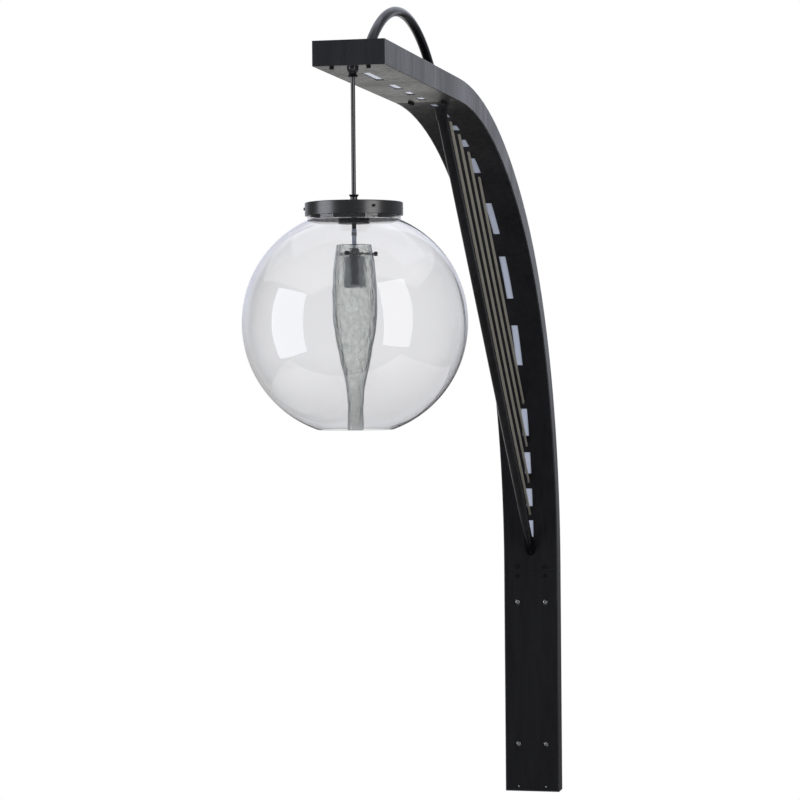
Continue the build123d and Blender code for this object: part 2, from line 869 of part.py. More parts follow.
def globe():
    """Clear ball with a neck at the top and an open mouth below."""
    centre = under_z - globe_centre_drop
    inner = globe_radius - globe_wall
    neck_top = fitter_top - fitter_wall - neck_top_gap
    neck_inner = neck_radius - globe_wall

    def on_ball(ball, radius, sign):
        return radius, 0, centre + sign * math.sqrt(ball**2 - radius**2)

    outer_foot = on_ball(globe_radius, globe_mouth_radius, -1)
    outer_neck = on_ball(globe_radius, neck_radius, 1)
    inner_foot = on_ball(inner, globe_mouth_radius - globe_wall, -1)
    inner_neck = on_ball(inner, neck_inner, 1)
    outline = [
        ThreePointArc(outer_foot, (globe_radius, 0, centre), outer_neck),
        Line(outer_neck, (neck_radius, 0, neck_top)),
        Line((neck_radius, 0, neck_top), (neck_inner, 0, neck_top)),
        Line((neck_inner, 0, neck_top), inner_neck),
        ThreePointArc(inner_neck, (inner, 0, centre), inner_foot),
        Line(inner_foot, outer_foot),
    ]
    return Pos(0, pendant_y, 0) * revolve(make_face(outline), Axis.Z)


# Lamp and inner shade
inner_ring_top = fitter_top - inner_stem_length
inner_coupling_top = inner_ring_top - inner_ring_height
lower_tube_top = inner_coupling_top - inner_coupling_height
lamp_top = lower_tube_top - lower_tube_length
shade_screw_z = under_z - shade_screw_drop


def inner_ring():
    """Bright lock ring between the inner stem and its coupling."""
    wall = inner_ring_radius - stem_radius + stem_wall
    return tube(inner_ring_top, inner_coupling_top, inner_ring_radius, wall)


def inner_coupling():
    """Collar that joins the inner stem and the lower tube."""
    wall = inner_coupling_radius - stem_radius + stem_wall
    return tube(inner_coupling_top, lower_tube_top, inner_coupling_radius, wall)


def lamp_socket():
    """Slim socket on the lower tube, with two pin holes below."""
    bottom = lamp_top - lamp_core_length
    start = Vector(0, pendant_y, bottom)
    body = post(start, start + Vector(0, 0, lamp_core_length), lamp_core_radius)
    for hand in (-1, 1):
        hole = start + Vector(hand * lamp_pin_spacing / 2, 0, 0)
        body -= post(hole, hole + Vector(0, 0, lamp_pin_depth), lamp_pin_radius)
    return body


def lamp_cup():
    """Glass cup round the socket, under the spider's hub and open below."""
    top = shade_screw_z - spider_hub_height / 2
    bottom = top - lamp_cup_length
    inside = lamp_cup_radius - lamp_cup_wall
    points = [
        (lamp_core_radius, top),
        (lamp_cup_radius, top),
        (lamp_cup_radius, bottom),
        (inside, bottom),
        (inside, top - lamp_cup_wall),
        (lamp_core_radius, top - lamp_cup_wall),
    ]
    return turned(points, (0, pendant_y, 0))


shade_top = under_z - shade_top_drop
rim_share, shoulder_share, shoulder_drop_share = shade_rim_shares


def shade_edge(inset):
    """Side of the shade from its rim to its foot, as a straight shoulder and a smooth run."""
    rim = (rim_share * shade_radius - inset, 0, shade_top)
    shoulder = (shoulder_share * shade_radius - inset, 0, shade_top - shoulder_drop_share * shade_length)
    sides = []
    for down, wide in shade_side_shares:
        sides.append((wide * shade_radius - inset, 0, shade_top - down * shade_length))
    foot = (shade_foot_share * shade_radius - inset, 0, shade_top - shade_length)
    slope = Vector(shoulder) - Vector(rim)
    return [Line(rim, shoulder), Spline(shoulder, *sides, foot, tangents=[slope, (0, 0, -1)])], rim, foot


def shade_radius_at(height):
    """Outer radius of the shade's straight shoulder."""
    share = (shade_top - height) / (shoulder_drop_share * shade_length)
    return (rim_share + (shoulder_share - rim_share) * share) * shade_radius


def shade():
    """Rippled glass shade, open at both ends."""
    outer, outer_rim, outer_foot = shade_edge(0)
    inner, inner_rim, inner_foot = shade_edge(shade_wall)
    outline = outer + [Line(outer_foot, inner_foot)] + inner + [Line(inner_rim, outer_rim)]
    body = Pos(0, pendant_y, 0) * revolve(make_face(outline), Axis.Z)
    for angle in round_places(shade_screw_angle):
        start = pendant_point(shade_radius / 2, angle, shade_screw_z)
        stop = start + outward(angle) * shade_radius
        body -= post(start, stop, shade_screw_radius + shade_screw_hole_room)
    return body


def shade_spider():
    """Hub on the lamp socket with three arms that meet the shade's screws."""
    hub = tube(
        shade_screw_z + spider_hub_height / 2,
        shade_screw_z - spider_hub_height / 2,
        spider_hub_radius,
        spider_hub_radius - lamp_core_radius,
    )
    reach = shade_radius_at(shade_screw_z) - shade_wall - spider_arm_gap
    for angle in round_places(shade_screw_angle):
        start = pendant_point((lamp_core_radius + spider_hub_radius) / 2, angle, shade_screw_z)
        stop = pendant_point(reach - spider_arm_radius / 2, angle, shade_screw_z)
        hub += post(start, stop, spider_arm_radius)
        bore = pendant_point(reach - shade_screw_depth, angle, shade_screw_z)
        hub -= post(bore, bore + outward(angle) * cut_overrun, shade_screw_radius + shade_screw_fit)
    return hub


def shade_screw(angle):
    """Thumb screw through the shade's shoulder into a spider arm."""
    seat = pendant_point(shade_radius_at(shade_screw_z) + shade_screw_stand, angle, shade_screw_z)
    tip_radius = shade_radius_at(shade_screw_z) - shade_wall - shade_screw_depth
    knob = Cylinder(knob_radius, knob_length, align=(Align.CENTER, Align.CENTER, Align.MIN))
    knob = fillet(knob.edges(), knob_edge_round)
    shank = post(pendant_point(tip_radius, angle, shade_screw_z), seat, shade_screw_radius)
    return shank + Plane(origin=seat, z_dir=outward(angle)) * knob


def build_all():
    """Every node by name, each a solid or a list of like solids."""
    cable = lamp_cable()
    nodes = {
        "arm_side_left": arm_side(-1),
        "arm_side_right": arm_side(1),
        "arm_spine": arm_spine(),
        "head_end_plate": strip(0, end_wall, 0, arm_depth, inner_width),
        "base_bottom_plate": strip(face_end - end_wall, face_end, 0, arm_depth, inner_width),
        "head_cover": head_cover(),
        "curve_cover": curve_cover(),
        "base_cover": base_cover(),
        "hanger_plate": hanger_plate(),
        "upper_seam_strap": seam_strap(head_end, seam_places[:4]),
        "lower_seam_strap": seam_strap(lower_seam, seam_places[4:]),
        "foot_strap": foot_strap(),
        "wall_bracket": wall_bracket(),
        "base_back_plate": base_back_plate(),
        "mount_sleeves": mount_sleeves(),
        "mount_bolts": mount_bolts(),
        "head_lens": lens(head_slots),
        "curve_lens": [lens(elbow_slots), lens(curve_slots)],
        "head_led_tray": tray(head_slots),
        "curve_led_tray": [tray(elbow_slots), tray(curve_slots)],
        "head_led_board": board(head_slots),
        "curve_led_board": [board(elbow_slots), board(curve_slots)],
        "led_driver": led_driver(),
        "terminal_blocks": [base_block(), head_block()],
        "lamp_cable": cable,
        "cable_clips": cable_clips(cable),
        "strut": strut(),
        "strut_collars": strut_collars(),
        "strut_sockets": rod_sockets(0, strut_radius, strut_socket_wall, strut_seat_depth),
        "loop_tube": loop_tube(),
        "swivel_body": swivel_body(),
        "swivel_nut": swivel_nut(),
        "pivot_pin": pivot_pin(),
        "stem_eye": stem_eye(),
        "stem_tube": stem_tube(),
        "stem_coupling": stem_coupling(),
        "fitter": fitter(),
        "neck_plate": neck_plate(),
        "globe": globe(),
        "inner_stem": tube(fitter_top, inner_ring_top, stem_radius, stem_wall),
        "inner_ring": inner_ring(),
        "inner_coupling": inner_coupling(),
        "lower_tube": tube(lower_tube_top, lamp_top, stem_radius, stem_wall),
        "lamp_socket": lamp_socket(),
        "lamp_cup": lamp_cup(),
        "shade_spider": shade_spider(),
        "shade": shade(),
    }
    nodes["cover_screws"] = [
        cap_screw(along, across, screw_head_radius, screw_head_height, screw_shank_radius)
        for along, across in seam_places + hanger_places
    ]
    nodes["foot_screws"] = [
        cap_screw(along, across, foot_screw_head_radius, foot_screw_head_height, foot_screw_shank_radius)
        for along, across in foot_places
    ]
    string_sockets = []
    for number, offset in enumerate(string_offsets, 1):
        nodes[f"string_{number}"] = rod(offset, string_radius, string_seat_depth)
        string_sockets += rod_sockets(offset, string_radius, string_socket_wall, string_seat_depth)
    nodes["string_sockets"] = string_sockets
    for number, angle in enumerate(round_places(shade_screw_angle), 1):
        nodes[f"shade_screw_{number}"] = shade_screw(angle)
    for number, angle in enumerate(round_places(fitter_screw_angle), 1):
        nodes[f"fitter_screw_{number}"] = fitter_screw(angle)
    return nodes


os.makedirs("parts", exist_ok=True)
for name, shape in build_all().items():
    pieces = shape if isinstance(shape, list) else [shape]
    solids = [solid for piece in pieces for solid in piece.solids()]
    export_step(solids[0] if len(solids) == 1 else Compound(solids), f"parts/{name}.step")
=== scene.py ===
"""Looks of a tall black wall lamp with a clear globe.

Metres. The wall is the plane Y = 0 and the lamp stands out of it towards -Y, with +Z up.
"""
import json
import math

import bmesh
import bpy
from mathutils import Matrix, Vector, noise


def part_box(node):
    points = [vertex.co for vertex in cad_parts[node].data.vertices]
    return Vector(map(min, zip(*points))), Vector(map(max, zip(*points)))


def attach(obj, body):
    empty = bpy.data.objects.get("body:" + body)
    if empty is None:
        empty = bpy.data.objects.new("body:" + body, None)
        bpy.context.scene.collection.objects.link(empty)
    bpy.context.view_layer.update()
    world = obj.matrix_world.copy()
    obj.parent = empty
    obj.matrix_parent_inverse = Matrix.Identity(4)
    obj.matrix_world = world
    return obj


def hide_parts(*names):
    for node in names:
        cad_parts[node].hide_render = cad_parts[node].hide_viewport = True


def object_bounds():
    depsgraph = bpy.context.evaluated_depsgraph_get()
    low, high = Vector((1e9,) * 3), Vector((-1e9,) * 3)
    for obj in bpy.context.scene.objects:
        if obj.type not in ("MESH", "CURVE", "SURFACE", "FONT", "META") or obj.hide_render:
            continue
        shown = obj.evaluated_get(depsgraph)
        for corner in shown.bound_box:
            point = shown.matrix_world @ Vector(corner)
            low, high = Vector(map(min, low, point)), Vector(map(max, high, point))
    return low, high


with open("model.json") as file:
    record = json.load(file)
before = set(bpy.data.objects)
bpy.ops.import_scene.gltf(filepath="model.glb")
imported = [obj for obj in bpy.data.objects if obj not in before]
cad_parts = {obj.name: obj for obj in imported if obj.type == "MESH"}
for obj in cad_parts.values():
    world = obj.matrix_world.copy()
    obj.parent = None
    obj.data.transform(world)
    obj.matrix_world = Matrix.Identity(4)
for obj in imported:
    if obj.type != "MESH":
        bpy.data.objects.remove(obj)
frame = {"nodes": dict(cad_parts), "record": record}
cad_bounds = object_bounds()
nodes = frame["nodes"]
globe_low, globe_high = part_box("globe")
shade_low, shade_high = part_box("shade")

# Camera, at the photograph's viewing angle, with its lens and sensor in millimetres
camera_place = (1.12151, -6.40710, 0.74843)
camera_yaw = math.radians(12.833)
camera_pitch = math.radians(-0.63)
camera_roll = math.radians(-0.483)
camera_lens = 117.70
camera_sensor = 36


def place_camera():
    """Long lens, a little below the globe's middle and to the lamp's right."""
    flat = math.cos(camera_pitch)
    ahead = Vector((-math.sin(camera_yaw) * flat, math.cos(camera_yaw) * flat, math.sin(camera_pitch)))
    level = Vector((math.cos(camera_yaw), math.sin(camera_yaw), 0))
    upright = level.cross(ahead)
    right = level * math.cos(camera_roll) + upright * math.sin(camera_roll)
    up = upright * math.cos(camera_roll) - level * math.sin(camera_roll)
    turned = Matrix((right, up, -ahead)).transposed().to_4x4()
    data = bpy.data.cameras.new("camera")
    data.sensor_width = camera_sensor
    data.lens = camera_lens
    camera = bpy.data.objects.new("camera", data)
    camera.matrix_world = Matrix.Translation(camera_place) @ turned
    bpy.context.scene.collection.objects.link(camera)
    bpy.context.scene.camera = camera


place_camera()
bpy.context.scene.view_settings.view_transform = "Standard"


# Helpers. Points nearer than a micrometre are joined
weld = 1e-6


def colour(code):
    """Linear colour of an sRGB hex value."""
    parts = [int(code[place : place + 2], 16) / 255 for place in (1, 3, 5)]
    return [part / 12.92 if part <= 0.04045 else ((part + 0.055) / 1.055) ** 2.4 for part in parts] + [1]


def cells(size):
    """Cells of noise in a metre, for a pattern of this size in millimetres."""
    return 1000 / size


def add(tree, kind, inputs=None, **settings):
    """One node, with its settings and what goes into its sockets."""
    made = tree.nodes.new(kind)
    for name, value in settings.items():
        setattr(made, name, value)
    for name, value in (inputs or {}).items():
        if isinstance(value, bpy.types.NodeSocket):
            tree.links.new(value, made.inputs[name])
        else:
            made.inputs[name].default_value = value
    return made


def new_material(name):
    """Empty material and its tree."""
    material = bpy.data.materials.new(name)
    material.use_nodes = True
    material.node_tree.nodes.clear()
    return material, material.node_tree


def piece(name, shape, material, body, *stands_for):
    """Smooth object made from a finished bmesh, which rides on a body and stands for CAD nodes."""
    mesh = bpy.data.meshes.new(name)
    shape.to_mesh(mesh)
    shape.free()
    mesh.polygons.foreach_set("use_smooth", [True] * len(mesh.polygons))
    mesh.materials.append(material)
    made = bpy.data.objects.new(name, mesh)
    bpy.context.scene.collection.objects.link(made)
    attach(made, body)
    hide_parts(*stands_for)
    return made


def lathe(points, centre, steps):
    """Open shell spun about an upright axis through (radius, height) points."""
    shape = bmesh.new()
    line = [shape.verts.new((radius, 0, height)) for radius, height in points]
    edges = [shape.edges.new(pair) for pair in zip(line, line[1:])]
    bmesh.ops.spin(
        shape, geom=line + edges, cent=(0, 0, 0), axis=(0, 0, 1), angle=math.tau, steps=steps, use_merge=True
    )
    bmesh.ops.remove_doubles(shape, verts=shape.verts, dist=weld)
    bmesh.ops.recalc_face_normals(shape, faces=shape.faces)
    bmesh.ops.translate(shape, verts=shape.verts, vec=centre)
    return shape


def thicken(made, thickness, even=False):
    """Wall of an open shell, inwards from its outer skin."""
    wall = made.modifiers.new("wall", "SOLIDIFY")
    wall.thickness = thickness
    wall.offset = -1
    wall.use_even_offset = even


# Finishes: the fine texture of a coat, a metal or a plastic is a tenth of a millimetre deep
fine_relief = 0.0001


def powder_coat(name, dark, light, rough, shine):
    """Polyester powder coat baked on steel plate: orange peel, and upright streaks where it shines more."""
    rough_swing = 0.04
    shine_swing = 0.25
    material, tree = new_material(name)
    place = add(tree, "ShaderNodeTexCoord").outputs["Object"]
    # Fine streaks 12.5 mm apart, and wide ones 125 mm apart
    fine_scale = (cells(12.5), cells(12.5), cells(111))
    wide_scale = (cells(125), cells(125), cells(667))
    fine = add(tree, "ShaderNodeMapping", {"Vector": place, "Scale": fine_scale}).outputs["Vector"]
    wide = add(tree, "ShaderNodeMapping", {"Vector": place, "Scale": wide_scale}).outputs["Vector"]
    streak = add(tree, "ShaderNodeTexNoise", {"Vector": fine, "Scale": 1.0, "Detail": 4.0}).outputs["Fac"]
    cloud = add(tree, "ShaderNodeTexNoise", {"Vector": wide, "Scale": 1.0, "Detail": 2.0}).outputs["Fac"]
    both = add(tree, "ShaderNodeMath", {0: streak, 1: cloud}, operation="ADD").outputs[0]
    share = add(
        tree, "ShaderNodeMapRange", {"Value": both, "From Min": 0.75, "From Max": 1.25}
    ).outputs["Result"]
    tint = add(
        tree, "ShaderNodeMix", {"Factor": share, 6: colour(dark), 7: colour(light)}, data_type="RGBA"
    ).outputs[2]
    gloss = add(
        tree,
        "ShaderNodeMapRange",
        {"Value": share, "To Min": rough + rough_swing, "To Max": rough - rough_swing},
    ).outputs["Result"]
    sheen = add(
        tree,
        "ShaderNodeMapRange",
        {"Value": share, "To Min": shine * (1 - shine_swing), "To Max": shine * (1 + shine_swing)},
    ).outputs["Result"]
    # Orange peel about 1.5 mm across
    peel = add(
        tree, "ShaderNodeTexNoise", {"Vector": place, "Scale": cells(1.54), "Detail": 2.0}
    ).outputs["Fac"]
    bump = add(
        tree, "ShaderNodeBump", {"Height": peel, "Strength": 0.25, "Distance": fine_relief}
    ).outputs["Normal"]
    coat = add(
        tree,
        "ShaderNodeBsdfPrincipled",
        {"Base Color": tint, "Roughness": gloss, "Normal": bump, "Specular IOR Level": sheen},
    )
    add(tree, "ShaderNodeOutputMaterial", {"Surface": coat.outputs["BSDF"]})
    return material


def turned_enamel(name, dark, light, rough):
    """Semi-gloss black stove enamel on turned steel: fine level tool lines show through."""
    rough_swing = 0.06
    material, tree = new_material(name)
    place = add(tree, "ShaderNodeTexCoord").outputs["Object"]
    # Tool lines 1.25 mm apart, drawn coarser than real ones so that they show
    line_scale = (cells(83.3), cells(83.3), cells(1.25))
    flat = add(tree, "ShaderNodeMapping", {"Vector": place, "Scale": line_scale}).outputs["Vector"]
    lines = add(tree, "ShaderNodeTexNoise", {"Vector": flat, "Scale": 1.0, "Detail": 2.0}).outputs["Fac"]
    tint = add(
        tree, "ShaderNodeMix", {"Factor": lines, 6: colour(dark), 7: colour(light)}, data_type="RGBA"
    ).outputs[2]
    gloss = add(
        tree,
        "ShaderNodeMapRange",
        {"Value": lines, "To Min": rough - rough_swing, "To Max": rough + rough_swing},
    ).outputs["Result"]
    bump = add(
        tree, "ShaderNodeBump", {"Height": lines, "Strength": 0.15, "Distance": fine_relief}
    ).outputs["Normal"]
    enamel = add(
        tree,
        "ShaderNodeBsdfPrincipled",
        {"Base Color": tint, "Roughness": gloss, "Normal": bump, "Specular IOR Level": 0.65},
    )
    add(tree, "ShaderNodeOutputMaterial", {"Surface": enamel.outputs["BSDF"]})
    return material


def bare_metal(name, dark, light, rough, grain):
    """Bare or plated metal: mottled by a grain in millimetres, and a little rougher where it is darker."""
    rough_swing = 0.08
    material, tree = new_material(name)
    place = add(tree, "ShaderNodeTexCoord").outputs["Object"]
    mottle = add(
        tree, "ShaderNodeTexNoise", {"Vector": place, "Scale": cells(grain), "Detail": 4.0}
    ).outputs["Fac"]
    tint = add(
        tree, "ShaderNodeMix", {"Factor": mottle, 6: colour(dark), 7: colour(light)}, data_type="RGBA"
    ).outputs[2]
    gloss = add(
        tree,
        "ShaderNodeMapRange",
        {"Value": mottle, "To Min": rough + rough_swing, "To Max": rough - rough_swing},
    ).outputs["Result"]
    bump = add(
        tree, "ShaderNodeBump", {"Height": mottle, "Strength": 0.1, "Distance": fine_relief}
    ).outputs["Normal"]
    metal = add(
        tree,
        "ShaderNodeBsdfPrincipled",
        {"Base Color": tint, "Metallic": 1.0, "Roughness": gloss, "Normal": bump},
    )
    add(tree, "ShaderNodeOutputMaterial", {"Surface": metal.outputs["BSDF"]})
    return material


def moulded_plastic(name, dark, light, rough, glow=0.0):
    """Moulded plastic: even, with a faint cloudiness and a fine texture."""
    material, tree = new_material(name)
    place = add(tree, "ShaderNodeTexCoord").outputs["Object"]
    cloud = add(
        tree, "ShaderNodeTexNoise", {"Vector": place, "Scale": cells(16.7), "Detail": 3.0}
    ).outputs["Fac"]
    grit = add(tree, "ShaderNodeTexNoise", {"Vector": place, "Scale": cells(0.667)}).outputs["Fac"]
    tint = add(
        tree, "ShaderNodeMix", {"Factor": cloud, 6: colour(dark), 7: colour(light)}, data_type="RGBA"
    ).outputs[2]
    bump = add(
        tree, "ShaderNodeBump", {"Height": grit, "Strength": 0.1, "Distance": fine_relief}
    ).outputs["Normal"]
    plastic = add(
        tree,
        "ShaderNodeBsdfPrincipled",
        {
            "Base Color": tint,
            "Roughness": rough,
            "Normal": bump,
            # A glow, where one is given, is painted light: the lamp is not lit
            "Emission Color": colour(light),
            "Emission Strength": glow,
        },
    )
    add(tree, "ShaderNodeOutputMaterial", {"Surface": plastic.outputs["BSDF"]})
    return material


def lamps_pass(tree, glass, tint):
    """The glass for every ray but a lamp's, which goes through with a tint."""
    ray = add(tree, "ShaderNodeLightPath").outputs["Is Shadow Ray"]
    through = add(tree, "ShaderNodeBsdfTransparent", {"Color": colour(tint)})
    mix = add(
        tree, "ShaderNodeMixShader", {0: ray, 1: glass.outputs["BSDF"], 2: through.outputs["BSDF"]}
    )
    return mix.outputs["Shader"]


def clear_acrylic():
    """Blown acrylic: polished and clear, with painted shade where it is seen edge on, and a little greyer
    towards its mouth.
    """
    material, tree = new_material("blown_clear_acrylic")
    place = add(tree, "ShaderNodeTexCoord").outputs["Object"]
    # Slow waves about 70 mm long, from the blowing
    wave = add(
        tree, "ShaderNodeTexNoise", {"Vector": place, "Scale": cells(71.4), "Detail": 1.0}
    ).outputs["Fac"]
    bump = add(
        tree, "ShaderNodeBump", {"Height": wave, "Strength": 0.04, "Distance": 0.002}
    ).outputs["Normal"]
    # Painted shade: a greyer tint where the wall is seen edge on
    edge = add(tree, "ShaderNodeLayerWeight", {"Blend": 0.25}).outputs["Facing"]
    painted_edge_shade = add(
        tree,
        "ShaderNodeMix",
        {"Factor": edge, 6: colour("#F4F4F5"), 7: colour("#F1F1F3")},
        data_type="RGBA",
    ).outputs[2]
    # Greyer over the lowest third
    lowest_third = (2 * globe_low.z + globe_high.z) / 3
    height = add(tree, "ShaderNodeSeparateXYZ", {"Vector": place}).outputs["Z"]
    low = add(
        tree, "ShaderNodeMapRange", {"Value": height, "From Min": lowest_third, "From Max": globe_low.z}
    ).outputs["Result"]
    tint = add(
        tree, "ShaderNodeMix", {"Factor": low, 6: painted_edge_shade, 7: colour("#E8E8E9")}, data_type="RGBA"
    ).outputs[2]
    acrylic = add(
        tree,
        "ShaderNodeBsdfPrincipled",
        {"Base Color": tint, "Roughness": 0.0, "IOR": 1.49, "Transmission Weight": 1.0, "Normal": bump},
    )
    add(tree, "ShaderNodeOutputMaterial", {"Surface": lamps_pass(tree, acrylic, "#F2F2F4")})
    return material


def rippled_glass():
    """Mouth-blown glass with ripples and seeds: clear in the middle, mottled and dark at its sides with
    painted shade.
    """
    material, tree = new_material("rippled_seedy_glass")
    place = add(tree, "ShaderNodeTexCoord").outputs["Object"]
    # Ripples about 6 mm across and 11 mm long, with a grey trail along the higher ones
    ripple_scale = (cells(5.882), cells(5.882), cells(11.11))
    long = add(tree, "ShaderNodeMapping", {"Vector": place, "Scale": ripple_scale}).outputs["Vector"]
    ripple = add(
        tree, "ShaderNodeTexNoise", {"Vector": long, "Scale": 1.0, "Detail": 3.0, "Distortion": 0.6}
    ).outputs["Fac"]
    bump = add(
        tree, "ShaderNodeBump", {"Height": ripple, "Strength": 0.5, "Distance": 0.002}
    ).outputs["Normal"]
    trail = add(
        tree, "ShaderNodeMapRange", {"Value": ripple, "From Min": 0.42, "From Max": 0.7}
    ).outputs["Result"]
    # Seeds, which are small bubbles, up to 2.4 mm across
    seeds = add(
        tree, "ShaderNodeTexNoise", {"Vector": place, "Scale": cells(2.381), "Detail": 1.0}
    ).outputs["Fac"]
    dots = add(
        tree, "ShaderNodeMapRange", {"Value": seeds, "From Min": 0.64, "From Max": 0.74}
    ).outputs["Result"]
    # Seen edge on the glass is thick, and painted shade darkens it there: the ripples break that dark rim up
    facing = add(tree, "ShaderNodeLayerWeight", {"Blend": 0.5, "Normal": bump}).outputs["Facing"]
    painted_edge_shade = add(
        tree, "ShaderNodeMapRange", {"Value": facing, "From Min": 0.68, "From Max": 1.0}
    ).outputs["Result"]
    # Darker over the last 120 mm, down to its narrow foot
    foot_top = shade_low.z + 0.12
    height = add(tree, "ShaderNodeSeparateXYZ", {"Vector": place}).outputs["Z"]
    foot = add(
        tree,
        "ShaderNodeMapRange",
        {"Value": height, "From Min": foot_top, "From Max": shade_low.z, "To Max": 0.4},
    ).outputs["Result"]
    edge_shade_and_foot_darkening = add(tree, "ShaderNodeMath", {0: painted_edge_shade, 1: foot}, operation="MAXIMUM").outputs[0]
    body = add(
        tree,
        "ShaderNodeMix",
        {"Factor": trail, 6: colour("#F2F4F2"), 7: colour("#DCDFDC")},
        data_type="RGBA",
    ).outputs[2]
    seedy = add(
        tree, "ShaderNodeMix", {"Factor": dots, 6: body, 7: colour("#9A9E98")}, data_type="RGBA"
    ).outputs[2]
    # Painted shade at the edges, and darker towards the foot
    tint = add(
        tree, "ShaderNodeMix", {"Factor": edge_shade_and_foot_darkening, 6: seedy, 7: colour("#A6AAA5")}, data_type="RGBA"
    ).outputs[2]
    glass = add(
        tree,
        "ShaderNodeBsdfPrincipled",
        {"Base Color": tint, "Roughness": 0.02, "IOR": 1.5, "Transmission Weight": 1.0, "Normal": bump},
    )
    add(tree, "ShaderNodeOutputMaterial", {"Surface": lamps_pass(tree, glass, "#D8DBD8")})
    return material


def smoked_glass():
    """Thin smoky glass of the lamp's cup: grey, with waves about 8 mm long."""
    material, tree = new_material("smoky_glass")
    place = add(tree, "ShaderNodeTexCoord").outputs["Object"]
    wave = add(
        tree, "ShaderNodeTexNoise", {"Vector": place, "Scale": cells(8.333), "Detail": 2.0}
    ).outputs["Fac"]
    tint = add(
        tree,
        "ShaderNodeMix",
        {"Factor": wave, 6: colour("#D6D8DA"), 7: colour("#989C9E")},
        data_type="RGBA",
    ).outputs[2]
    bump = add(
        tree, "ShaderNodeBump", {"Height": wave, "Strength": 0.4, "Distance": 0.001}
    ).outputs["Normal"]
    glass = add(
        tree,
        "ShaderNodeBsdfPrincipled",
        {"Base Color": tint, "Roughness": 0.02, "IOR": 1.5, "Transmission Weight": 1.0, "Normal": bump},
    )
    add(tree, "ShaderNodeOutputMaterial", {"Surface": lamps_pass(tree, glass, "#C8CACB")})
    return material


finishes = {
    # Powder coat: satin on the plates, dull on the covers, and glossy on the strut and the loop
    "black_powder_coat": powder_coat("satin_black_powder_coat", "#0E0F11", "#15161A", rough=0.28, shine=0.5),
    "black_cover": powder_coat("matt_black_powder_coat", "#131315", "#18181A", rough=0.4, shine=0.07),
    "black_tube": powder_coat("gloss_black_powder_coat", "#08080A", "#0D0D10", rough=0.12, shine=0.17),
    # Stove enamel: a deep black with a soft shine
    "black_fittings": turned_enamel("semi_gloss_black_enamel", "#0A0A0B", "#151517", rough=0.28),
    # Chemically blackened steel: the deepest black, and dull
    "black_screws": powder_coat("black_oxide_on_steel", "#040404", "#080808", rough=0.45, shine=0.12),
    # Steel as rolled, dark, and painted darker as the shade in the seams between the covers; a dull grey
    # mottle
    "inner_steel": bare_metal("mill_scale_and_seam_shade_steel", "#2A2A2D", "#38383B", rough=0.5, grain=12.5),
    # Plated steel with a small mottle, painted darker than bright zinc as the shade on the bolt heads in
    # their recesses
    "zinc_plate": bare_metal("zinc_plate_with_recess_shade", "#7C7C7B", "#A4A4A2", rough=0.2, grain=3.33),
    # Drawn stainless wire: warm grey, with a soft shine
    "stainless_rope": bare_metal("stranded_stainless_wire", "#99958A", "#BDB9AC", rough=0.36, grain=1.43),
    # Ground steel tube: a cool grey that mirrors softly
    "steel_tube": bare_metal("satin_steel_tube", "#7B7F8E", "#9498A6", rough=0.3, grain=5),
    # Opal acrylic: milky, with a painted glow, faint on the curve and stronger under the head
    "opal_acrylic": moulded_plastic("opal_acrylic", "#9EA5B4", "#ACB3C2", rough=0.35, glow=0.07),
    "opal_head": moulded_plastic("opal_acrylic_painted_glow", "#C4C8D2", "#D4D8E2", rough=0.35, glow=0.4),
    # Folded sheet as it comes from the mill: pale and soft
    "tray_aluminium": bare_metal("mill_finish_aluminium", "#B9B9BC", "#CDCDD0", rough=0.35, grain=8.33),
    # Printed lacquer: plain white
    "light_board": moulded_plastic("white_solder_mask", "#E4E4E0", "#F0F0EE", rough=0.4),
    # Moulded cases and blocks: dull, grey or black
    "driver_case": moulded_plastic("grey_abs_case", "#8E8E90", "#9C9C9E", rough=0.5),
    "block_plastic": moulded_plastic("black_polyamide", "#0B0B0C", "#131314", rough=0.45),
    # Extruded rubber: the dullest black
    "cable_jacket": moulded_plastic("black_rubber_jacket", "#121212", "#1A1A1A", rough=0.6),
    "clear_acrylic": clear_acrylic(),
    "rippled_glass": rippled_glass(),
    "cup_glass": smoked_glass(),
}

for row in frame["record"]["subparts"]:
    mesh = nodes[row["node"]].data
    mesh.materials.clear()
    mesh.materials.append(finishes[row["material_slot"]])


# Wire ropes, of six strands laid round a core
rope_count = 4
rope_radius = 0.0032
rope_lean = math.radians(46.5)
rope_lay = 0.038
strand_count = 6
strand_radius = 0.00107
strand_centre = 0.00205
strand_sides = 7
core_radius = 0.00123
core_sides = 6
steps_a_lay = 14
# Points of two lays that are nearer than this are joined
lay_join = 0.00002


def rope_run(node):
    """Middle of a round bar's lower end, its direction and its length."""
    low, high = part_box(node)
    way = Vector((0, -math.sin(rope_lean), math.cos(rope_lean)))
    end_y = rope_radius * math.cos(rope_lean)
    end_z = rope_radius * math.sin(rope_lean)
    foot = Vector((0, high.y - end_y, low.z + end_z))
    head = Vector((0, low.y + end_y, high.z - end_z))
    return foot, way, (head - foot).length


